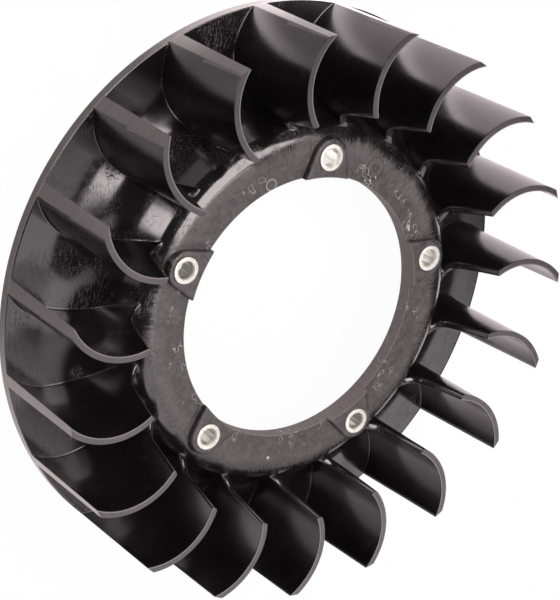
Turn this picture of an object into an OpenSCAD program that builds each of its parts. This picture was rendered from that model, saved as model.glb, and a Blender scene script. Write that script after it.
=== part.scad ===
// Cooling fan of an air-cooled engine: one black moulding with curved vanes standing in a bowl,
// and five steel sleeves that take the clamping load of its bolts.
// Z runs along the axis, the back of the rim lies at zero and X points at the first sleeve.

/* [Overall] */
// Diameter turned over the vane tips and the rim
tip_d = 220; // [208:1:236]
// Height from the back of the rim to the front edges of the vanes
fan_h = 50.2; // [46:0.1:60]
// Number of vanes
vane_count = 19; // [15:1:21]

/* [Bowl] */
// Thickness of the rim and of the flat floor behind the vanes
rim_t = 4.4; // [3:0.1:6]
// Chamfer round the back edge of the rim
rim_chamfer = 0.6; // [0.2:0.1:1.5]
// Thickness of the sloping wall
wall_t = 4; // [3:0.1:5]
// Steepness of the wall above the floor, in degrees
wall_angle = 70; // [64:1:78]
// Radius where the floor turns up into the wall
bowl_r = 27; // [18:0.2:30]

/* [Hub] */
// Diameter at which the wall would meet the hub face
hub_d = 138; // [134:0.2:143]
// Height of the hub face above the back of the rim
hub_h = 29.9; // [26:0.1:34]
// Thickness of the hub plate
plate_t = 5.4; // [4.5:0.1:8]
// Radius of the shoulder round the hub face
shoulder_r = 8.5; // [4:0.1:11]
// Diameter of the central opening
bore_d = 102.7; // [97:0.1:106]

/* [Vanes] */
// Thickness of a vane at its front edge
vane_t = 2.3; // [1.8:0.1:3]
// Thickness that draft adds to a vane between its front edge and the floor
vane_draft = 0.9; // [0.3:0.1:1.5]
// Bulge of a vane's curve from the straight line between its ends
vane_camber = 9.5; // [7:0.1:13]
// Diameter at the inner corners of the vanes' front edges
vane_in_d = 157; // [151:0.5:164]
// Lean of the vanes' inner edges from the axis, in degrees
vane_lean = 12; // [6:0.5:18]
// Radius at the foot of the vanes' inner edges
foot_r = 6; // [3:0.1:8]
// Depth of that foot below the hub face
foot_drop = 2.8; // [1:0.1:3.6]
// Turn of the first vane from the first sleeve, in degrees
vane_turn = 12.9; // [0:0.1:18.9]

/* [Sleeves and pads] */
// Diameter of the circle that the sleeves stand on
bolt_circle_d = 117.7; // [115:0.1:121]
// Outer diameter of a sleeve
sleeve_d = 10.1; // [9:0.1:11.5]
// Diameter of the bolt hole through a sleeve
bolt_hole_d = 6.5; // [5.5:0.1:7.5]
// How far a sleeve stands proud of its pad
sleeve_proud = 0.3; // [0:0.05:0.6]
// Chamfer at both mouths of the bolt hole
sleeve_chamfer = 0.4; // [0.2:0.05:0.7]
// Play between a sleeve and the hole it sits in
sleeve_play = 0.05; // [0:0.01:0.2]
// Height of a pad above the hub face
pad_h = 2.6; // [1.5:0.05:4]
// Radius of a pad's rounded end, about its sleeve
pad_r = 7.2; // [6.6:0.1:9]
// Width of a pad at the central opening
pad_w = 19.4; // [16:0.2:26]

/* [Hidden] */
NODES = ["impeller", "sleeve_1", "sleeve_2", "sleeve_3", "sleeve_4", "sleeve_5"];
$fn = 144;
sleeve_count = len(NODES) - 1;
arc_steps = 12;
turning_stock = 2;
cut_over = 1;
least_r = 1;

tip_r = tip_d / 2;
hub_r = hub_d / 2;
bore_r = bore_d / 2;
bolt_r = bolt_circle_d / 2;
plate_back = hub_h - plate_t;
sleeve_len = plate_t + pad_h + sleeve_proud;

// The wall is one sloping line, given by its radius at hub face height; its set-back for a skin
// of thickness t is measured level.
function wall_at(z, t) = hub_r - t / sin(wall_angle) + (hub_h - z) / tan(wall_angle);
function on_arc(c, r, a) = c + r * [cos(a), sin(a)];
function wall_len(low_z, high_z) = (high_z - low_z) / sin(wall_angle);

// Line of the bowl from the floor up the wall to the hub face, with both corners rounded.
// low_z and high_z are the floor and face heights, t is the depth below the front surface.
function bowl_line(low_z, high_z, t, low_r, high_r) =
    let (
        half = tan(wall_angle / 2),
        high_fit = min(high_r, wall_len(low_z, high_z) / half / 2),
        low_fit = min(low_r, wall_len(low_z, high_z) / half - high_fit),
        low_c = [wall_at(low_z, t) + low_fit * half, low_z + low_fit],
        high_c = [wall_at(high_z, t) - high_fit * half, high_z - high_fit]
    )
    concat(
        [for (i = [0:arc_steps]) on_arc(low_c, low_fit, -90 - wall_angle * i / arc_steps)],
        [for (i = [0:arc_steps]) on_arc(high_c, high_fit, 90 - wall_angle * (1 - i / arc_steps))]
    );

front_line = bowl_line(rim_t, hub_h, 0, bowl_r, shoulder_r);
back_line = bowl_line(0, plate_back, wall_t, bowl_r + wall_t, max(shoulder_r - wall_t, least_r));

// A vane's curve is an arc whose ends lie on one radius, at the tip and at the hub wall.
chord = tip_r - hub_r;
vane_r = (chord * chord / 4 + vane_camber * vane_camber) / (2 * vane_camber);
vane_c = [(tip_r + hub_r) / 2, vane_camber - vane_r];
draft_slope = vane_draft / (fan_h - rim_t);

// The foot rounds the leaning inner edge into a level line just below the hub face.
foot_z = hub_h - foot_drop;
foot_turn = 90 - vane_lean;
foot_corner_r = vane_in_d / 2 - (fan_h - foot_z) * tan(vane_lean);
foot_c = [foot_corner_r - foot_r * tan(foot_turn / 2), foot_z + foot_r];
root_depth = wall_t / 2;
root_r = min(foot_c[0], wall_at(foot_z, root_depth)) - root_depth / 2;

// Side view of a vane: front edge, leaning inner edge, foot, and a root sunk in the bowl's wall.
module vane_side() {
    root_line = bowl_line(rim_t - root_depth, hub_h - root_depth, root_depth, bowl_r + root_depth, least_r);
    difference() {
        polygon(concat(
            [[tip_r + turning_stock, 0], [tip_r + turning_stock, fan_h], [vane_in_d / 2, fan_h]],
            [for (i = [0:arc_steps]) on_arc(foot_c, foot_r, -vane_lean - foot_turn * i / arc_steps)],
            [[root_r, foot_z], [root_r, 0]]
        ));
        polygon(concat(
            [[tip_r + 2 * turning_stock, -cut_over], [tip_r + 2 * turning_stock, rim_t - root_depth]],
            [for (p = root_line) if (p[1] < foot_z - root_depth) p],
            [[root_r - cut_over, foot_z - root_depth], [root_r - cut_over, -cut_over]]
        ));
    }
}

// One vane's curved wall, full height and over length; draft thins its hollow side to the front.
module vane_wall() {
    intersection() {
        translate(vane_c) difference() {
            cylinder(h = fan_h, r = vane_r);
            translate([0, 0, rim_t - fan_h])
                cylinder(
                    h = 2 * fan_h,
                    r1 = vane_r - vane_t - draft_slope * (2 * fan_h - rim_t),
                    r2 = vane_r - vane_t + draft_slope * rim_t
                );
        }
        translate([0, vane_c[1], 0]) cube([tip_d, tip_d, fan_h]);
    }
}

module vanes() {
    intersection() {
        for (k = [0:vane_count - 1])
            rotate(vane_turn + k * 360 / vane_count) vane_wall();
        rotate_extrude() vane_side();
    }
}

// Floor, sloping wall and hub plate as one turned skin, left over size for the finishing cut.
module bowl() {
    rotate_extrude() polygon(concat(
        [[tip_r + turning_stock, 0], [tip_r + turning_stock, rim_t]],
        front_line,
        [[bore_r - turning_stock, hub_h], [bore_r - turning_stock, plate_back]],
        [for (i = [len(back_line) - 1:-1:0]) back_line[i]]
    ));
}

// Raised seat round a sleeve: round outside, with straight flanks that widen to the opening.
module pad() {
    corner = [sqrt(bore_r * bore_r - pad_w * pad_w / 4), pad_w / 2];
    to_bolt = [bolt_r, 0] - corner;
    flank = atan2(to_bolt[1], to_bolt[0]) + asin(pad_r / norm(to_bolt));
    inner = corner - 2 * turning_stock * [cos(flank), sin(flank)];
    round_end = [
        for (i = [0:2 * arc_steps])
            on_arc([bolt_r, 0], pad_r, (90 + flank) * (1 - i / arc_steps))
    ];
    translate([0, 0, hub_h - plate_t / 2]) linear_extrude(plate_t / 2 + pad_h)
        polygon(concat([inner], round_end, [[inner[0], -inner[1]]]));
}

module at_sleeve(i) {
    rotate((i - 1) * 360 / sleeve_count) children();
}

// Outline left by turning the rim and the vane tips to one diameter.
module turned_outline() {
    rotate_extrude() polygon([
        [0, -cut_over],
        [tip_r - rim_chamfer - cut_over, -cut_over],
        [tip_r, rim_chamfer],
        [tip_r, fan_h + cut_over],
        [0, fan_h + cut_over]
    ]);
}

module impeller() {
    color([0.09, 0.09, 0.09]) difference() {
        intersection() {
            union() {
                bowl();
                vanes();
                for (i = [1:sleeve_count]) at_sleeve(i) pad();
            }
            turned_outline();
        }
        translate([0, 0, -cut_over]) cylinder(h = fan_h, r = bore_r);
        for (i = [1:sleeve_count]) at_sleeve(i) translate([bolt_r, 0, 0])
            cylinder(h = fan_h, d = sleeve_d + 2 * sleeve_play);
    }
}

module sleeve(i) {
    mouth_r = bolt_hole_d / 2 + sleeve_chamfer;
    color([0.78, 0.79, 0.76]) at_sleeve(i) translate([bolt_r, 0, plate_back]) difference() {
        cylinder(h = sleeve_len, d = sleeve_d);
        translate([0, 0, -cut_over]) cylinder(h = sleeve_len + 2 * cut_over, d = bolt_hole_d);
        translate([0, 0, sleeve_len - sleeve_chamfer])
            cylinder(h = 2 * sleeve_chamfer, r1 = bolt_hole_d / 2, r2 = mouth_r + sleeve_chamfer);
        translate([0, 0, -sleeve_chamfer])
            cylinder(h = 2 * sleeve_chamfer, r1 = mouth_r + sleeve_chamfer, r2 = bolt_hole_d / 2);
    }
}

impeller();
sleeve(1);  // sleeve_1
sleeve(2);  // sleeve_2
sleeve(3);  // sleeve_3
sleeve(4);  // sleeve_4
sleeve(5);  // sleeve_5
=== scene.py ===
# %% [markdown]
# # A moulded cooling fan
# This lesson rebuilds the cooling fan of an air-cooled engine. The fan is one black moulding with curved
# vanes, and five steel sleeves sit in its hub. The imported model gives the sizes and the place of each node.
# The moulding is modelled again here, because a glossy black surface shows every flat of a coarse mesh.

from math import acos, asin, atan2, cos, hypot, pi, radians, sin, sqrt, tan

import bpy
from mathutils import Matrix, Vector


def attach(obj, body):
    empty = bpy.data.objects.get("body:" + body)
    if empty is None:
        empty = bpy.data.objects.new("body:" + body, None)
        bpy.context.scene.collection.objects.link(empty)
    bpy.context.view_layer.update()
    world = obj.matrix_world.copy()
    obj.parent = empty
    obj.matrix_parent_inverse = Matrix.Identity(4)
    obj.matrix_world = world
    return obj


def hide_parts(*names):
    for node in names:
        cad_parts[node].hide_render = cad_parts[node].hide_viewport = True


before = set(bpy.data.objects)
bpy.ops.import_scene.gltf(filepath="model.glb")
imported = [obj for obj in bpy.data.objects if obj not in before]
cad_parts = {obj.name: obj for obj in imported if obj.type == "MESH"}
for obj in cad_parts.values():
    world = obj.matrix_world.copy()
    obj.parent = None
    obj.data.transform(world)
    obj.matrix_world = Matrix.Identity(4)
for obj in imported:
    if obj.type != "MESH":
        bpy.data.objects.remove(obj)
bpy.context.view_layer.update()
print("nodes:", sorted(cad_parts))

# %% [markdown]
# ## Sizes
# The names are those of the part's own sizes, in metres. The vanes' curve is an arc whose ends lie on one
# radius, so its radius follows from the chord and the bulge. Edges that turn by more than the angle CRISP
# stay sharp in the light.

# %% Sizes
MM = 0.001
FULL = 2 * pi
TIP_R = 110 * MM
FAN_H = 50.2 * MM
VANES = 19
RIM_T = 4.4 * MM
RIM_CHAMFER = 0.6 * MM
WALL_T = 4 * MM
WALL_ANGLE = radians(70)
BOWL_R = 27 * MM
HUB_R = 69 * MM
HUB_H = 29.9 * MM
PLATE_T = 5.4 * MM
SHOULDER_R = 8.5 * MM
BORE_R = 51.35 * MM
VANE_T = 2.3 * MM
VANE_DRAFT = 0.9 * MM
VANE_CAMBER = 9.5 * MM
VANE_IN_R = 78.5 * MM
VANE_LEAN = radians(12)
FOOT_R = 6 * MM
FOOT_Z = HUB_H - 2.8 * MM
VANE_TURN = radians(12.9)
BOLT_R = 58.85 * MM
SLEEVES = 5
SLEEVE_R = 5.05 * MM
BOLT_HOLE_R = 3.25 * MM
SLEEVE_PROUD = 0.3 * MM
SLEEVE_CHAMFER = 0.4 * MM
SLEEVE_PLAY = 0.05 * MM
PAD_H = 2.6 * MM
PAD_R = 7.2 * MM
PAD_W = 19.4 * MM
PAD_ROUND = 0.9 * MM
STOCK = 2 * MM
OVERCUT = 1 * MM
LEAST_R = 1 * MM
CRISP = radians(32)
PLATE_BACK = HUB_H - PLATE_T
CHORD = TIP_R - HUB_R
VANE_R = (CHORD**2 / 4 + VANE_CAMBER**2) / (2 * VANE_CAMBER)
VANE_C = Vector(((TIP_R + HUB_R) / 2, VANE_CAMBER - VANE_R, 0))
print("radius of a vane's curve: %.2f mm" % (VANE_R / MM))

# %% [markdown]
# ## Tools of the bench
# Three moves make nearly all of the fan. An outline is drawn by extruding one corner to the next, it is
# spun round an axis, and bodies are then joined or cut with booleans.

# %% Tools of the bench
def pick(piece):
    """Leaves one object selected and active."""
    bpy.ops.object.select_all(action="DESELECT")
    piece.select_set(True)
    bpy.context.view_layer.objects.active = piece


def settle(piece):
    """Moves an object's place and turn into its mesh."""
    pick(piece)
    bpy.ops.object.transform_apply(location=True, rotation=True, scale=True)
    return piece


def draw(name, corners):
    """A closed outline, drawn corner by corner from a plane that is merged to one point."""
    bpy.ops.object.select_all(action="DESELECT")
    bpy.ops.mesh.primitive_plane_add(size=MM, location=corners[0])
    piece = bpy.context.object
    piece.name = name
    bpy.ops.object.mode_set(mode="EDIT")
    bpy.ops.mesh.merge(type="CENTER")
    for here, there in zip(corners, corners[1:]):
        step = Vector(there) - Vector(here)
        bpy.ops.mesh.extrude_region_move(TRANSFORM_OT_translate={"value": step})
    bpy.ops.mesh.select_all(action="SELECT")
    bpy.ops.mesh.edge_face_add()
    bpy.ops.object.mode_set(mode="OBJECT")
    return settle(piece)


def spin(piece, centre, angle, steps):
    """Spins the drawn face round an upright axis into a closed body."""
    whole = abs(angle) > FULL - 1e-6
    pick(piece)
    bpy.ops.object.mode_set(mode="EDIT")
    bpy.ops.mesh.select_all(action="SELECT")
    if whole:
        bpy.ops.mesh.delete(type="ONLY_FACE")
        bpy.ops.mesh.select_all(action="SELECT")
    bpy.ops.mesh.spin(steps=steps, angle=angle, center=centre, axis=(0, 0, -1))
    bpy.ops.mesh.select_all(action="SELECT")
    bpy.ops.mesh.remove_doubles(threshold=0.001 * MM)
    bpy.ops.mesh.normals_make_consistent(inside=False)
    bpy.ops.object.mode_set(mode="OBJECT")
    return piece


def turned(piece, angle):
    """Turns a body about the fan's axis and settles the turn in its mesh."""
    piece.rotation_euler = (0, 0, angle)
    return settle(piece)


def copied(piece, name):
    """A copy with a mesh of its own."""
    pick(piece)
    bpy.ops.object.duplicate()
    bpy.context.object.name = name
    return bpy.context.object


def combined(body, tool, operation):
    """Joins, cuts or trims the body with a tool, which is then thrown away."""
    pick(body)
    change = body.modifiers.new(operation.lower(), "BOOLEAN")
    change.operation = operation
    change.object = tool
    change.solver = "MANIFOLD"
    change.material_mode = "TRANSFER"
    bpy.ops.object.modifier_apply(modifier=change.name)
    bpy.data.objects.remove(tool)
    return body


def arc(centre, radius, start, stop, steps):
    """Points of an arc in the upright plane through the fan's axis."""
    turn = (stop - start) / steps
    return [
        (centre[0] + radius * cos(start + turn * i), 0, centre[1] + radius * sin(start + turn * i))
        for i in range(steps + 1)
    ]


# %% [markdown]
# ## The bowl
# Floor, sloping wall and hub plate are one skin that was turned in the mould. It could be built up from
# cones and rings, but its side view is one smooth line, so that line is drawn once and spun. Steps of
# 1.25 degrees are fine enough to show no flats in the gloss. The outer edge is left over size and trimmed
# later, as the real fan is on a lathe.

# %% The bowl
STEPS = 288
FOOT_STEPS = 26
SLOPE_STEPS = 4
HEAD_STEPS = 24


def wall_at(z, depth):
    """Radius of the sloping wall at a height, set back into the skin by a depth."""
    return HUB_R - depth / sin(WALL_ANGLE) + (HUB_H - z) / tan(WALL_ANGLE)


def bowl_line(low_z, high_z, depth, low_r, high_r):
    """Line from the floor up the wall to the hub, both corners rounded."""
    half = tan(WALL_ANGLE / 2)
    low_c = (wall_at(low_z, depth) + low_r * half, low_z + low_r)
    high_c = (wall_at(high_z, depth) - high_r * half, high_z - high_r)
    foot = arc(low_c, low_r, radians(-90), radians(-90) - WALL_ANGLE, FOOT_STEPS)
    head = arc(high_c, high_r, radians(90) - WALL_ANGLE, radians(90), HEAD_STEPS)
    slope = [
        tuple(foot[-1][k] + (head[0][k] - foot[-1][k]) * i / SLOPE_STEPS for k in range(3))
        for i in range(1, SLOPE_STEPS)
    ]
    return foot + slope + head


def level(start, stop, z, count):
    """Points along a level line from one radius to another."""
    return [(start + (stop - start) * i / count, 0, z) for i in range(count)]


front = bowl_line(RIM_T, HUB_H, 0, BOWL_R, SHOULDER_R)
back = bowl_line(0, PLATE_BACK, WALL_T, BOWL_R + WALL_T, SHOULDER_R - WALL_T)
rough_edge = TIP_R + STOCK
rough_bore = BORE_R - STOCK
skin = level(rough_edge, front[0][0], RIM_T, 6) + front
skin += level(front[-1][0], rough_bore, HUB_H, 8)[1:] + [(rough_bore, 0, HUB_H)]
skin += [(rough_bore, 0, PLATE_BACK)] + back[::-1] + [(rough_edge, 0, 0)]
bowl = spin(draw("bowl", skin), (0, 0, 0), FULL, STEPS)
print("bowl:", len(bowl.data.polygons), "faces")

# %% [markdown]
# ## The blank of a vane
# A vane is a thin wall on an arc. Its inner edge leans outwards, ends in a rounded foot and has rounded
# arrises, which catch the light as thin bright lines. A bevel after the booleans would catch on the small
# faces at the root, so the rounds come first: the vane starts as a straight blank, whose outline with the
# rounded corners is drawn once and extruded row by row.

# %% The blank of a vane
ARRIS = 0.8 * MM
ARRIS_STEPS = 4
LENGTH = 45 * MM
COLUMNS = 38
ROOT_ROWS = 8
FOOT_ROWS = 12
LEAN_ROWS = 9
LOW = RIM_T - WALL_T / 2
HIGH = FAN_H + STOCK

foot_turn = radians(90) - VANE_LEAN
foot_corner = VANE_IN_R - (FAN_H - FOOT_Z) * tan(VANE_LEAN)
foot_c = (foot_corner - FOOT_R * tan(foot_turn / 2), FOOT_Z + FOOT_R)
root_r = foot_c[0] - 0.15 * MM

# Each row of the edge: radius, height and the direction that points into the vane.
root_high = FOOT_Z - 1.5 * ARRIS
rows = [(root_r, LOW + (root_high - LOW) * i / ROOT_ROWS, 1, 0) for i in range(ROOT_ROWS + 1)]
for i in range(FOOT_ROWS + 1):
    a = radians(-90) + foot_turn * i / FOOT_ROWS
    rows.append((foot_c[0] + FOOT_R * cos(a), foot_c[1] + FOOT_R * sin(a), cos(a), sin(a)))
lean_low = rows[-1][1]
for i in range(1, LEAN_ROWS + 1):
    z = lean_low + (HIGH - lean_low) * i / LEAN_ROWS
    rows.append((VANE_IN_R - (FAN_H - z) * tan(VANE_LEAN), z, cos(VANE_LEAN), -sin(VANE_LEAN)))

along = [ARRIS + (LENGTH - ARRIS) * i / COLUMNS for i in range(1, COLUMNS + 1)]
quarter = [pi * i / (2 * ARRIS_STEPS) for i in range(ARRIS_STEPS + 1)]
nose = [(ARRIS * (1 - sin(a)), ARRIS * (1 - cos(a))) for a in quarter]
section = [(x, 0) for x in along[::-1]] + nose
section += [(x, VANE_T - y) for x, y in nose[::-1]] + [(x, VANE_T) for x in along]
vane = draw("vane", [(x, y, 0) for x, y in section])
pick(vane)
bpy.ops.object.mode_set(mode="EDIT")
bpy.ops.mesh.select_all(action="SELECT")
for row in rows[1:]:
    bpy.ops.mesh.extrude_region_move(TRANSFORM_OT_translate={"value": (0, 0, MM)})
bpy.ops.object.mode_set(mode="OBJECT")
print("blank:", len(vane.data.vertices), "corners in", len(rows), "rows")

# %% [markdown]
# ## The blank bent to a vane
# In the mould the vane is curved and thins towards its front by the draft. Bending modifiers know neither
# the draft nor the foot, so each point of the blank is set by a sum: its row gives the height, its
# distance along the blank gives the radius, and its depth gives the place between the two faces. The
# bent vane is then trimmed to its side view, spun into a wedge with one step for each degree. The trim
# sinks the vane's root into the bowl's skin.

# %% The blank bent to a vane
to_centre = hypot(VANE_C.x, VANE_C.y)
centre_bearing = atan2(VANE_C.y, VANE_C.x)
draft_slope = VANE_DRAFT / (FAN_H - RIM_T)


def bent(place):
    """Where a point of the straight blank lies on the vane."""
    radius, z, inward_r, inward_z = rows[round(place.z / MM)]
    depth = min(place.x, ARRIS)
    radius, z = radius + depth * inward_r, z + depth * inward_z
    if place.x > ARRIS:
        radius += (rough_edge - radius) * (place.x - ARRIS) / (LENGTH - ARRIS)
    hollow = VANE_R - VANE_T - draft_slope * (FAN_H - z)
    from_centre = hollow + (VANE_R - hollow) * place.y / VANE_T
    swing = acos((radius**2 + to_centre**2 - from_centre**2) / (2 * radius * to_centre))
    bearing = centre_bearing + swing
    return Vector((radius * cos(bearing), radius * sin(bearing), z))


for point in vane.data.vertices:
    point.co = bent(point.co)
pick(vane)
bpy.ops.object.mode_set(mode="EDIT")
bpy.ops.mesh.select_all(action="SELECT")
bpy.ops.mesh.normals_make_consistent(inside=False)
bpy.ops.object.mode_set(mode="OBJECT")

WEDGE = 36
root_depth = WALL_T / 2
root_line = bowl_line(LOW, HUB_H - root_depth, root_depth, BOWL_R + root_depth, LEAST_R)
outer, inner, upper = rough_edge + OVERCUT, root_r - OVERCUT, HIGH + OVERCUT
side_view = [(outer, 0, LOW), (outer, 0, upper), (inner, 0, upper), (inner, 0, FOOT_Z - root_depth)]
side_view += [p for p in root_line[::-1] if p[2] < FOOT_Z - root_depth]
trim = spin(draw("side_view", side_view), (0, 0, 0), radians(WEDGE), WEDGE)
vane = combined(vane, turned(trim, radians(-WEDGE / 2)), "INTERSECT")
print("vane:", len(vane.data.polygons), "faces")

# %% [markdown]
# ## The pads
# Each sleeve stands in a raised seat, round outside and with straight flanks that widen to the opening.
# A cylinder and a wedge could be joined for it, but then the top edge would not round in one go. So the
# outline is drawn from above and pulled up, and its edges are rounded with a bevel.

# %% One pad
corner_x = sqrt(BORE_R**2 - PAD_W**2 / 4)
to_bolt = Vector((BOLT_R - corner_x, -PAD_W / 2))
flank = atan2(to_bolt.y, to_bolt.x) + asin(PAD_R / to_bolt.length)
PAD_LOW = HUB_H - PLATE_T / 2
PAD_TOP = HUB_H + PAD_H
END_STEPS = 14
run_in = 2 * STOCK
near = (corner_x - run_in * cos(flank), PAD_W / 2 - run_in * sin(flank))
sweep = [(pi / 2 + flank) * (1 - i / END_STEPS) for i in range(2 * END_STEPS + 1)]
round_end = [(BOLT_R + PAD_R * cos(a), PAD_R * sin(a)) for a in sweep]
seat = [near] + round_end + [(near[0], -near[1])]
pad = draw("pad", [(x, y, PAD_LOW) for x, y in seat])
pick(pad)
bpy.ops.object.mode_set(mode="EDIT")
bpy.ops.mesh.select_all(action="SELECT")
bpy.ops.mesh.extrude_region_move(TRANSFORM_OT_translate={"value": (0, 0, PAD_TOP - PAD_LOW)})
bpy.ops.mesh.bevel(offset=PAD_ROUND, segments=5, profile=0.5, affect="EDGES")
bpy.ops.mesh.select_all(action="SELECT")
bpy.ops.mesh.normals_make_consistent(inside=False)
bpy.ops.object.mode_set(mode="OBJECT")
print("pad:", len(pad.data.polygons), "faces")

# %% [markdown]
# ## The moulding
# Bowl, vanes and pads are one moulding, so they have to be one closed body without hidden faces. Laying
# them into each other would look the same from outside, but the dark finish would then be worked out on
# faces that nobody sees. So vane and pad are copied round the hub and each copy is joined to the bowl.

# %% The moulding
impeller = bowl
impeller.name = "impeller_moulding"
for k in range(VANES):
    impeller = combined(impeller, turned(copied(vane, "vane_copy"), VANE_TURN + FULL * k / VANES), "UNION")
for k in range(SLEEVES):
    impeller = combined(impeller, turned(copied(pad, "pad_copy"), FULL * k / SLEEVES), "UNION")
bpy.data.objects.remove(vane)
bpy.data.objects.remove(pad)
print("joined:", len(impeller.data.polygons), "faces")

# %% [markdown]
# ## Turned and drilled
# The moulding is finished as in the shop: the lathe trims rim and vane tips to one outline, with a small
# chamfer at the back of the rim, and the opening and the holes for the sleeves are cut. Each cut is a
# boolean with a body of the tool's shape, so the edges come out as crisp as on the real fan.

# %% Turned and drilled
HOLE_STEPS = 64
lathe_outline = [
    (0, 0, -OVERCUT),
    (TIP_R - RIM_CHAMFER - OVERCUT, 0, -OVERCUT),
    (TIP_R, 0, RIM_CHAMFER),
    (TIP_R, 0, FAN_H),
    (0, 0, FAN_H),
]
lathe = spin(draw("lathe_outline", lathe_outline), (0, 0, 0), FULL, STEPS)
impeller = combined(impeller, lathe, "INTERSECT")


def drill(radius, x, y, steps):
    """A round cutter that passes right through the hub."""
    bpy.ops.object.select_all(action="DESELECT")
    bpy.ops.mesh.primitive_cylinder_add(
        vertices=steps, radius=radius, depth=2 * FAN_H, location=(x, y, 0), end_fill_type="NGON"
    )
    return settle(bpy.context.object)


impeller = combined(impeller, drill(BORE_R, 0, 0, STEPS), "DIFFERENCE")
for k in range(SLEEVES):
    bearing = FULL * k / SLEEVES
    hole = drill(SLEEVE_R + SLEEVE_PLAY, BOLT_R * cos(bearing), BOLT_R * sin(bearing), HOLE_STEPS)
    impeller = combined(impeller, hole, "DIFFERENCE")
print("moulding:", len(impeller.data.polygons), "faces")

# %% [markdown]
# ## Which face is turned and which is moulded
# The lathe leaves flat matt faces on the vane tips, the front edges and the rim. All other faces keep the
# gloss of the mould. A mask in one material would blur the border between them, so each face is told by
# its place and the way it faces, with a little play for the rounding of the booleans.

# %% Which face is turned and which is moulded
def is_turned(face):
    """True on the faces that the lathe's tool has cut."""
    out = Vector((face.center.x, face.center.y, 0)).normalized()
    tip = hypot(face.center.x, face.center.y) > TIP_R - RIM_CHAMFER - 0.1 * MM
    on_edge = tip and face.normal.dot(out) > 0.5
    on_front = face.center.z > FAN_H - 0.01 * MM and face.normal.z > 0.9
    return on_edge or on_front


turned_faces = [is_turned(face) for face in impeller.data.polygons]
pick(impeller)
bpy.ops.object.shade_smooth_by_angle(angle=CRISP)
print("turned faces:", sum(turned_faces), "of", len(turned_faces))

# %% [markdown]
# ## The sleeves
# Each sleeve is a short steel tube, turned from bar and coated with zinc. Its side view has a chamfer at
# both mouths of the hole and a small break on its outer edges, and it is spun like the bowl, because the
# real one is turned too.

# %% One sleeve, and four copies
EDGE_BREAK = 0.25 * MM
SLEEVE_STEPS = 96
top = PLATE_BACK + PLATE_T + PAD_H + SLEEVE_PROUD
mouth = BOLT_HOLE_R + SLEEVE_CHAMFER
sleeve_side = [
    (BOLT_HOLE_R, PLATE_BACK + SLEEVE_CHAMFER),
    (mouth, PLATE_BACK),
    (SLEEVE_R, PLATE_BACK),
    (SLEEVE_R, top - EDGE_BREAK),
    (SLEEVE_R - 0.3 * EDGE_BREAK, top - 0.3 * EDGE_BREAK),
    (SLEEVE_R - EDGE_BREAK, top),
    (mouth, top),
    (BOLT_HOLE_R, top - SLEEVE_CHAMFER),
]
first = draw("sleeve_1_steel", [(r + BOLT_R, 0, z) for r, z in sleeve_side])
first = spin(first, (BOLT_R, 0, 0), FULL, SLEEVE_STEPS)
steel = [first]
for k in range(1, SLEEVES):
    steel.append(turned(copied(first, "sleeve_%d_steel" % (k + 1)), FULL * k / SLEEVES))
for k, piece in enumerate(steel):
    pick(piece)
    bpy.ops.object.shade_smooth_by_angle(angle=CRISP)
    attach(piece, "root")
    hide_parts("sleeve_%d" % (k + 1))
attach(impeller, "root")
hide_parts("impeller")
print("sleeve:", len(first.data.polygons), "faces")

# %% [markdown]
# ## Sums on sockets
# A finish is a pattern worked out at each point of the surface. Sums on patterns are easier to read than a
# web of nodes, so one small class stands for a socket and turns sums into Math nodes.

# %% Sums on sockets
class Pattern:
    """One output socket of a finish. Sums on it add Math nodes."""

    def __init__(self, finish, socket):
        self.finish = finish
        self.socket = socket

    def sum(self, operation, first, second=0):
        return self.finish.node("ShaderNodeMath", {"operation": operation}, {0: first, 1: second})

    def __add__(self, other):
        return self.sum("ADD", self, other)

    def __radd__(self, other):
        return self.sum("ADD", other, self)

    def __sub__(self, other):
        return self.sum("SUBTRACT", self, other)

    def __rsub__(self, other):
        return self.sum("SUBTRACT", other, self)

    def __mul__(self, other):
        return self.sum("MULTIPLY", self, other)

    def __rmul__(self, other):
        return self.sum("MULTIPLY", other, self)

    def __truediv__(self, other):
        return self.sum("DIVIDE", self, other)

    def __pow__(self, other):
        return self.sum("POWER", self, other)

    def __abs__(self):
        return self.sum("ABSOLUTE", self)

    def cosine(self):
        return self.sum("COSINE", self)

    def sine(self):
        return self.sum("SINE", self)

    def floor(self):
        return self.sum("FLOOR", self)

    def over(self, low, high):
        """A soft step that is 0 below low and 1 above high. A low above high turns it round."""
        if low > high:
            return 1 - self.over(high, low)
        settings = {"interpolation_type": "SMOOTHSTEP"}
        sockets = {"Value": self, "From Min": low, "From Max": high}
        return self.finish.node("ShaderNodeMapRange", settings, sockets)

    def between(self, low, high, soft):
        """A band that is 1 from low to high and fades over a width on both sides."""
        return self.over(low - soft, low) * self.over(high + soft, high)


# %% [markdown]
# ## A bench for finishes
# Every finish of the fan is one Principled shader with patterns behind it. The patterns are in millimetres
# of the fan's own frame, so a mark can be put where it is measured, and lines that run round the axis
# pass from one piece of the surface to the next.

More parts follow.
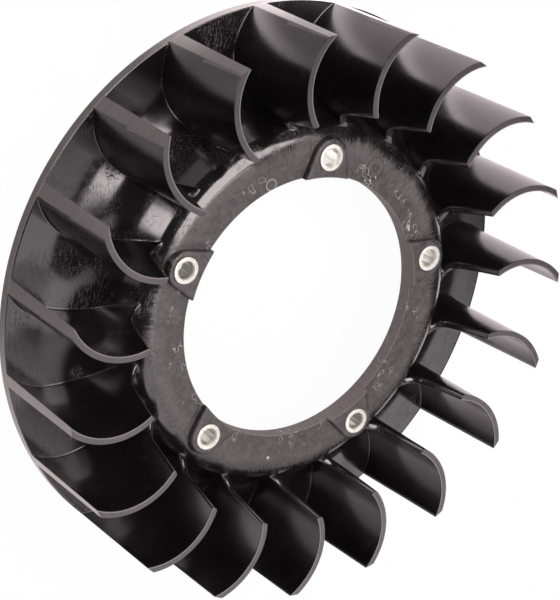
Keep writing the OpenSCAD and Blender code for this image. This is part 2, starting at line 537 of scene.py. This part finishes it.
# %% A bench for finishes
class Finish:
    """A material on one Principled shader, with its patterns in millimetres of the fan's frame."""

    def __init__(self, name, **fixed):
        self.material = bpy.data.materials.new(name)
        self.material.use_nodes = True
        self.tree = self.material.node_tree
        self.shader = self.tree.nodes["Principled BSDF"]
        for socket, value in fixed.items():
            self.shader.inputs[socket.replace("_", " ")].default_value = value
        place = self.node("ShaderNodeTexCoord", {}, {}, "Object")
        self.place = self.node("ShaderNodeVectorMath", {"operation": "SCALE"}, {0: place, "Scale": 1000})
        self.x, self.y, self.z = [
            self.node("ShaderNodeSeparateXYZ", {}, {"Vector": self.place}, axis) for axis in "XYZ"
        ]
        self.r = (self.x * self.x + self.y * self.y) ** 0.5
        self.bearing = self.node("ShaderNodeMath", {"operation": "ARCTAN2"}, {0: self.y, 1: self.x})

    def node(self, kind, settings, sockets, output=0):
        """Any node: its settings first, then the values or links of its sockets."""
        node = self.tree.nodes.new(kind)
        for name, value in settings.items():
            setattr(node, name, value)
        for name, value in sockets.items():
            if isinstance(value, Pattern):
                self.tree.links.new(value.socket, node.inputs[name])
            else:
                node.inputs[name].default_value = value
        return Pattern(self, node.outputs[output])

    def noise(self, where, scale, detail=3, rough=0.55, warp=0):
        sockets = {"Vector": where, "Scale": scale, "Detail": detail, "Roughness": rough, "Distortion": warp}
        return self.node("ShaderNodeTexNoise", {}, sockets)

    def spots(self, where, scale, size):
        """Small round spots, one in each cell of a scattered grid."""
        sockets = {"Vector": where, "Scale": scale}
        return self.node("ShaderNodeTexVoronoi", {}, sockets, "Distance").over(size, size * 0.5)

    def vector(self, x, y, z):
        return self.node("ShaderNodeCombineXYZ", {}, {"X": x, "Y": y, "Z": z})

    def around(self, often, along):
        """Coordinates for marks that follow the turn: often is how quickly they change round the axis."""
        return self.vector(self.x / self.r * often, self.y / self.r * often, along)

    def folded(self, bearing, share, ahead):
        """Number of the share round the hub that a bearing falls in, and x and y turned back by it."""
        number = (bearing / share + ahead).floor()
        within = bearing - number * share
        return number, self.r * within.cosine(), self.r * within.sine()

    def mix(self, mask, first, second):
        """Colour that goes from the first to the second as the mask goes from 0 to 1."""
        colours = [c if isinstance(c, Pattern) else (*c, 1) for c in (first, second)]
        sockets = {0: mask, 6: colours[0], 7: colours[1]}
        return self.node("ShaderNodeMix", {"data_type": "RGBA"}, sockets, 2)

    def feed(self, **patterns):
        for socket, pattern in patterns.items():
            self.tree.links.new(pattern.socket, self.shader.inputs[socket.replace("_", " ")])

    def relief(self, height, depth_mm, normal=None):
        """Small relief: the height pattern runs from 0 to 1 over a depth."""
        sockets = {"Height": height, "Strength": 1.0, "Distance": depth_mm * MM}
        if normal:
            sockets["Normal"] = normal
        return self.node("ShaderNodeBump", {}, sockets)


# %% [markdown]
# ## Moulded black
# The moulding is glossy glass-filled nylon. Its gloss is never quite even, so four noises of different
# size are made first: a broad one for the tone, a fine one for the orange peel, a grain and a mottle for
# the worn face. Bearing and height tell where on the fan a point lies, and so where a mark may be.

# %% Moulded black
black = Finish("moulded_black", IOR=1.6, Specular_IOR_Level=0.75)
broad = black.noise(black.place, 0.035, 2, 0.5)
fine = black.noise(black.place, 1.3, 4, 0.6)
grain = black.noise(black.place, 6.0, 2, 0.5)
mottle = black.noise(black.place, 0.42, 4, 0.65, 0.6)
spared = black.bearing.between(radians(31), radians(65), radians(2))
bitten = black.bearing.between(radians(-80), radians(-12), radians(12))
on_hub = black.z.over(22.5, 23.5)
print("moulded black:", len(black.tree.nodes), "nodes so far")

# %% [markdown]
# ## The satin of the hub
# The hub's face was brushed satin after moulding. Short brush marks carry the satin outwards over the
# shoulder, all round but for one spared stretch, and on one side the brush has bitten deepest and left
# dark flecks. Noise that changes quickly round the axis and slowly outwards gives such marks. Added to
# the radius where the satin ends, the same noise makes its border ragged.

# %% The satin of the hub
SATIN_R = 64.3
brushed = 1 - spared
strokes = black.noise(black.around(210, black.r * 0.22 + black.z * 0.2), 1, 3, 0.7)
hairs = black.noise(black.around(560, black.r * 0.3 + black.z * 0.3), 1, 2, 0.6)
reach = black.noise(black.around(5, 0), 1, 2, 0.6)
ragged = SATIN_R + brushed * ((strokes - 0.5) * 9 + (hairs - 0.5) * 6 + (reach - 0.5) * 10 - 0.8)
satin = ((ragged - black.r) / (0.5 + brushed * 3.2)).over(-1.2, 0.8) * on_hub
outer_face = black.r.over(57.0, 62.5) * satin
flecks = bitten * (strokes * 0.6 + mottle * 0.4).over(0.50, 0.38)
face_tone = black.mix(mottle.over(0.36, 0.70), (0.015, 0.0135, 0.014), (0.064, 0.0575, 0.059))
face_tone = black.mix(flecks * 0.8, face_tone, (0.010, 0.009, 0.009))
face_tone = black.mix(outer_face * strokes.over(0.35, 0.7) * 0.8, face_tone, (0.105, 0.095, 0.094))
bore_wall = black.r.over(51.75, 51.45) * black.z.over(24.0, 24.3)
print("with the satin:", len(black.tree.nodes), "nodes so far")

# %% [markdown]
# ## Marks with a place of their own
# A plain ring is pressed into the hub's face, a smaller one lies by the opening, and a white chip and two
# worn patches lie further out. They could be modelled, but they are thinner than a hair, so each is a
# pattern of the distance from its place.

# %% Marks with a place of their own
RING = (53.9, -23.6)
SMALL_RING = (48.2, 23.0)
CHIP = (-60.4, 3.2)
WORN = (47.3, 74.9)
RUBBED = (43.5, 89.8)


def away_from(place):
    """Distance from a place on the fan, seen from above."""
    return ((black.x - place[0]) ** 2 + (black.y - place[1]) ** 2) ** 0.5


def ring_mark(place, radius, width):
    """A plain ring pressed into the hub's face."""
    return abs(away_from(place) - radius).over(width, width * 0.3) * on_hub


def patch_at(place, size):
    """A soft round patch of wear."""
    return away_from(place).over(size, size * 0.5)


rings = ring_mark(RING, 4.0, 0.55) + ring_mark(RING, 1.1, 0.9)
small_ring = ring_mark(SMALL_RING, 2.1, 0.28)
chip = patch_at(CHIP, 0.8)
worn = patch_at(WORN, 4.5) * black.noise(black.place, 1.1, 3, 0.7).over(0.50, 0.56)
rubbed = patch_at(RUBBED, 11) * black.noise(black.place, 0.5, 4, 0.7).over(0.45, 0.6)
print("with the placed marks:", len(black.tree.nodes), "nodes so far")

# %% [markdown]
# ## Marks scattered over the moulding
# Handling has left light curls near the opening, specks, dust, fine scratches and smears. Curls are the
# lines at one distance from the cells of a warped Voronoi pattern, and scratches are the middle line of a
# stretched noise. Dust settles less on faces that stand upright, and the true normal tells those.

# %% Marks scattered over the moulding
facing = black.node("ShaderNodeNewGeometry", {}, {}, "True Normal")
upright = black.node("ShaderNodeSeparateXYZ", {}, {"Vector": facing}, "Z")
standing = abs(upright).over(0.30, 0.15)
dusty = 1 - standing * 0.75

warp = black.node("ShaderNodeTexNoise", {}, {"Vector": black.place, "Scale": 0.22, "Detail": 1}, "Color")
warp_sockets = {0: warp, 1: (9, 9, 9), 2: black.place}
warped = black.node("ShaderNodeVectorMath", {"operation": "MULTIPLY_ADD"}, warp_sockets)
loops = black.node("ShaderNodeTexVoronoi", {}, {"Vector": warped, "Scale": 0.23}, "Distance")
near_opening = black.r.over(59.5, 56.5) * black.z.over(30.6, 30.2)
curls = abs(loops - 0.36).over(0.038, 0.010) * black.noise(black.place, 0.07, 1, 0.5).over(0.50, 0.56)
curls = curls * near_opening * satin

specks = black.spots(black.place, 0.33, 0.06) * black.noise(black.place, 0.09, 1).over(0.46, 0.56) * dusty
dust = black.spots(black.place, 0.9, 0.09) * black.noise(black.place, 0.12, 2).over(0.54, 0.68) * dusty
stretched = black.vector(black.x * 0.12 + black.y * 0.1, black.y * 1.6, black.z * 1.1)
scratches = abs(black.noise(stretched, 1, 2, 0.7) - 0.5).over(0.012, 0.002)
scratches = scratches * black.noise(black.place, 0.06, 1).over(0.46, 0.56) * dusty
smears = black.noise(black.place, 0.16, 3, 0.6, 0.8).over(0.52, 0.72)
print("with the scattered marks:", len(black.tree.nodes), "nodes so far")

# %% [markdown]
# ## Colour, gloss and relief of the moulding
# The masks now work on the colour, the roughness and a very small relief. Small fillets at the roots of
# the vanes could be modelled, but a bevel of such crossing curves tears. A Bevel node rounds the light
# across an inside corner instead, without any change to the shape.

# %% Colour, gloss and relief of the moulding
tone = black.mix(broad, (0.0064, 0.0057, 0.0060), (0.0098, 0.0088, 0.0092))
tone = black.mix(satin, tone, face_tone)
tone = black.mix(bore_wall * (0.1 + strokes * 1.5), tone, (0.24, 0.215, 0.213))
tone = black.mix(rings * 0.85, tone, (0.009, 0.008, 0.008))
tone = black.mix(curls * 0.75 + small_ring * 0.6 + chip, tone, (0.52, 0.50, 0.50))
tone = black.mix((specks + dust * 0.6 + scratches * 0.35) * 0.5, tone, (0.38, 0.37, 0.37))
gloss = 0.095 + broad * 0.05 + fine * 0.03 + smears * 0.05 + standing * 0.09
gloss = gloss + satin * (0.24 + mottle * 0.26) + bore_wall * 0.28
gloss = gloss + scratches * 0.15 + dust * 0.2 + specks * 0.2 + worn * 0.35 + rubbed * 0.12
gloss = gloss - rings * 0.26 - flecks * satin * 0.22
rounded = black.node("ShaderNodeBevel", {"samples": 8}, {"Radius": 1.0 * MM})
peel = black.relief(fine * 0.7 + grain * 0.3, 0.006, rounded)
marks = satin * (strokes * outer_face * 1.6 + hairs * 0.5 * outer_face + grain * 0.5)
marks = marks + curls * 0.8 + scratches * 0.3 - rings * 0.8
black.feed(Base_Color=tone, Roughness=gloss, Normal=black.relief(marks, 0.05, peel))
print("moulded black, finished:", len(black.tree.nodes), "nodes")

# %% [markdown]
# ## Turned grey
# Where the lathe has cut through the glossy skin, the glass fibres show as a satin grey with the tool's
# lines running round. The lines are the same at one radius and height, so they pass from the rim into the
# edges of the vanes. The tool also burnishes the plastic, which shines only along the surface: a thin
# coat gives that shine at low angles and leaves the face dull from above.

# %% Turned grey
grey = Finish("turned_grey", Specular_IOR_Level=0.5, Coat_Weight=0.5, Coat_Roughness=0.15)
lines = grey.noise(grey.around(3, grey.r * 2.4 + grey.z * 3.1), 1, 4, 0.75)
wide_lines = grey.noise(grey.around(1.5, grey.r * 0.5 + grey.z * 0.6), 1, 2, 0.5)
patches = grey.noise(grey.place, 0.05, 3, 0.6)
fibres = grey.noise(grey.place, 3.5, 3, 0.7)
chips = grey.spots(grey.place, 0.8, 0.10) * grey.noise(grey.place, 0.1, 1).over(0.5, 0.62)
at_front = grey.z.over(50.05, 50.15)
outer_tone = grey.mix(lines.over(0.25, 0.8), (0.066, 0.060, 0.061), (0.150, 0.137, 0.138))
front_tone = grey.mix(lines.over(0.25, 0.8), (0.036, 0.033, 0.034), (0.068, 0.062, 0.065))
cut = grey.mix(at_front, outer_tone, front_tone)
cut = grey.mix(patches.over(0.40, 0.75) * 0.4, cut, (0.100, 0.092, 0.094))
cut = grey.mix(fibres.over(0.62, 0.8) * 0.35 + chips * 0.6, cut, (0.22, 0.21, 0.21))
print("turned grey:", len(grey.tree.nodes), "nodes so far")

# %% [markdown]
# ## Painted highlights on the turned edges
# Along the hollow side of each front edge, and along the burr at the front of the rim, the colour is painted
# lighter. These are painted highlights, where the slightly rounded arris and the burr catch the light. The
# line follows the vanes' arc. Folding the bearing into one vane's share lets one distance from the arc's
# centre serve all nineteen vanes.

# %% Painted highlights on the turned edges
_, vane_x, vane_y = grey.folded(grey.bearing - VANE_TURN, FULL / VANES, 0.3)
vane_x = vane_x - VANE_C.x / MM
vane_y = vane_y - VANE_C.y / MM
from_convex = VANE_R / MM - (vane_x * vane_x + vane_y * vane_y) ** 0.5
# painted highlight along the slightly rounded hollow arris of each front edge
arris_highlight = from_convex.over(1.85, 2.05) * at_front * fibres.over(0.25, 0.55)
# painted highlight of the burr at the front of the rim
burr_highlight = grey.z.over(3.9, 4.2) * grey.z.over(4.6, 4.5) * patches.over(0.35, 0.55)
cut = grey.mix(arris_highlight * 0.55, cut, (0.36, 0.335, 0.34))
cut = grey.mix(burr_highlight * 0.7, cut, (0.36, 0.32, 0.31))
grey.feed(
    Base_Color=cut,
    Roughness=0.23 + wide_lines * 0.12 + fibres * 0.08,
    Normal=grey.relief(lines * 0.8 + fibres * 0.3, 0.03),
)
print("turned grey, finished:", len(grey.tree.nodes), "nodes")

# %% [markdown]
# ## Zinc-coated steel
# The sleeves are pale zinc, dulled by handling, with brown traces near the rim. In the hole the colour is
# painted darker, as painted shade in the bore, and broken into dark and light radial streaks. They are
# patterned round each sleeve's own axis, and again the bearing is folded, here into one fifth, so that one
# finish fits all five sleeves.

# %% Zinc-coated steel
zinc = Finish("zinc_coated_steel")
number, local_x, local_y = zinc.folded(zinc.bearing, FULL / SLEEVES, 0.5)
local_x = local_x - BOLT_R / MM
from_axis = (local_x * local_x + local_y * local_y) ** 0.5
in_hole = from_axis.over(3.45, 3.3) * zinc.z.over(32.1, 31.0)
star_x, star_y = local_x / from_axis * 3.2, local_y / from_axis * 3.2
star = zinc.noise(zinc.vector(star_x, star_y, number * 7 + zinc.z * 0.03), 1, 2, 0.6).over(0.42, 0.62)
cloud = zinc.noise(zinc.place, 0.9, 3, 0.6)
speckle = zinc.noise(zinc.place, 6, 3, 0.7)
traces = speckle.over(0.55, 0.75) * cloud.over(0.4, 0.7) * 0.7
coating = zinc.mix(cloud.over(0.3, 0.7), (0.72, 0.74, 0.64), (0.92, 0.95, 0.90))
coating = zinc.mix(traces, coating, (0.50, 0.38, 0.24))
# painted shade in the hole: its wall darker, broken by radial streaks
coating = zinc.mix(in_hole * (0.3 + (1 - star) * 0.6), coating, (0.25, 0.27, 0.24))
zinc.feed(
    Base_Color=coating,
    Roughness=0.36 + cloud * 0.16 - in_hole * 0.14,
    Metallic=0.5 + in_hole * 0.45,
    Normal=zinc.relief(speckle * 0.6 + in_hole * star * 0.8, 0.04),
)
print("zinc-coated steel:", len(zinc.tree.nodes), "nodes")

# %% [markdown]
# ## Finishes on the pieces
# The moulding carries two finishes, black first and turned grey second, and each face that the lathe has
# cut is pointed to the second. The sleeves carry zinc alone.

# %% Finishes on the pieces
def dressed(piece, *finishes):
    """Gives a piece its finishes, in order."""
    piece.data.materials.clear()
    for finish in finishes:
        piece.data.materials.append(finish.material)


dressed(impeller, black, grey)
for face, is_cut in zip(impeller.data.polygons, turned_faces):
    face.material_index = int(is_cut)
for piece in steel:
    dressed(piece, zinc)
print("finishes on", 1 + len(steel), "pieces")

# %% [markdown]
# ## Camera
# The camera stands where the perspective of the photograph puts it: above the fan and to one side, and
# rolled, so that the fan's axis points to the lower right of the picture. Its place, its lens and its
# shift were solved from points measured on the fan.

# %% Camera
view = bpy.data.cameras.new("camera")
view.sensor_fit = "HORIZONTAL"
view.sensor_width = 36
view.lens = 132.67
view.shift_x = 0.0129
view.shift_y = 0.0708
camera = bpy.data.objects.new("camera", view)
bpy.context.scene.collection.objects.link(camera)
RIGHT = Vector((0.160, -0.808, 0.567)).normalized()
UP = Vector((0.934, -0.062, -0.353)).normalized()
BACK = Vector((0.320, 0.586, 0.744)).normalized()
EYE = Vector((0.23312, 0.45845, 0.59860))
camera.matrix_world = Matrix.Translation(EYE) @ Matrix((RIGHT, UP, BACK)).transposed().to_4x4()
bpy.context.scene.camera = camera
print("camera at", [round(c, 3) for c in EYE])

# %% [markdown]
# ## Floor
# The fan lies on a white floor, a hair below the back of the rim. The camera sees it as white with a faint
# shadow. A gloss surface shows whatever stands round it, so for glossy rays the floor glows with a painted
# reflection of its own, tinted warm: a soft level all round, brighter towards some bearings, and a bright
# strip at the bearing of the low lamp.

# %% Floor
bpy.ops.object.select_all(action="DESELECT")
FLOOR_GAP = 0.05 * MM
bpy.ops.mesh.primitive_plane_add(size=12, location=(0, 0, -FLOOR_GAP))
floor = bpy.context.object
floor.name = "floor"
paper = Finish("white_paper", Base_Color=(0.86, 0.86, 0.86, 1), Roughness=0.9, Specular_IOR_Level=0.1)
to_camera = paper.node("ShaderNodeLightPath", {}, {}, "Is Camera Ray")
to_gloss = paper.node("ShaderNodeLightPath", {}, {}, "Is Glossy Ray")


def toward(degrees):
    """Cosine of the turn away from a bearing, seen from the fan's axis."""
    return (paper.x * cos(radians(degrees)) + paper.y * sin(radians(degrees))) / paper.r


# painted reflection: the floor's glow for glossy rays, brighter towards some bearings, with a bright strip at
# the low lamp's bearing
mirrored = 0.58 + toward(-60).over(0.1, 0.8) * 0.9 + toward(128).over(0.78, 0.97) * 0.6
mirrored = mirrored + toward(-5).over(0.71, 0.94) * paper.r.over(126, 112) * 2.2
mirrored = mirrored + toward(62).over(0.992, 0.998) * paper.r.over(135, 165) * 6
# warm tint of the painted reflection; plain white for the camera
tint = paper.mix(to_camera, (1.0, 0.88, 0.915), (1, 1, 1))
glow_sockets = {0: tint, "Scale": mirrored * to_gloss + to_camera}
glow_colour = paper.node("ShaderNodeVectorMath", {"operation": "SCALE"}, glow_sockets)
glow = paper.node("ShaderNodeEmission", {}, {"Color": glow_colour, "Strength": 1})
matt = Pattern(paper, paper.shader.outputs[0])
surface = paper.node("ShaderNodeMixShader", {}, {0: to_camera * 0.97 + to_gloss, 1: matt, 2: glow})
paper.tree.links.new(surface.socket, paper.tree.nodes["Material Output"].inputs["Surface"])
floor.data.materials.append(paper.material)
print("white paper:", len(paper.tree.nodes), "nodes")

# %% [markdown]
# ## Softboxes
# Three softboxes light the fan: a large one above, which draws the bright bands on the hub's shoulder, a
# second one behind the fan and a low one beside the camera. Point lamps would leave hard dots on the
# gloss, while a softbox is mirrored as a clean band. The room is dim, so the gloss stays black where no
# lamp is mirrored.

# %% Softboxes
def softbox(name, bearing, height, distance, size, brightness, turn=0):
    """A softbox at a bearing and height in degrees, aimed at the fan, with the brightness of its face."""
    lamp = bpy.data.lights.new(name, "AREA")
    lamp.shape = "RECTANGLE"
    lamp.size, lamp.size_y = size
    lamp.energy = brightness * pi * size[0] * size[1]
    lamp.color = (1.0, 0.895, 0.92)
    box = bpy.data.objects.new(name, lamp)
    bpy.context.scene.collection.objects.link(box)
    a, e = radians(bearing), radians(height)
    outwards = Vector((cos(e) * cos(a), cos(e) * sin(a), sin(e)))
    across = Vector((-sin(a), cos(a), 0))
    aim = Matrix((across, outwards.cross(across), outwards)).transposed().to_4x4()
    roll = Matrix.Rotation(radians(turn), 4, "Z")
    box.matrix_world = Matrix.Translation(outwards * distance) @ aim @ roll


softbox("softbox_above", -8.9, 69.8, 1.1, (0.76, 0.83), 6.6, -21.1)
softbox("softbox_behind", 195, 48, 1.5, (2.3, 1.1), 1.55)
softbox("softbox_low", 62, 6, 1.5, (0.30, 0.30), 6.6)

world = bpy.data.worlds.new("studio")
bpy.context.scene.world = world
world.use_nodes = True
world.node_tree.nodes["Background"].inputs["Color"].default_value = (1, 0.92, 0.94, 1)
world.node_tree.nodes["Background"].inputs["Strength"].default_value = 0.06
bpy.context.scene.view_settings.view_transform = "Standard"
print("lamps:", [lamp.name for lamp in bpy.data.lights])
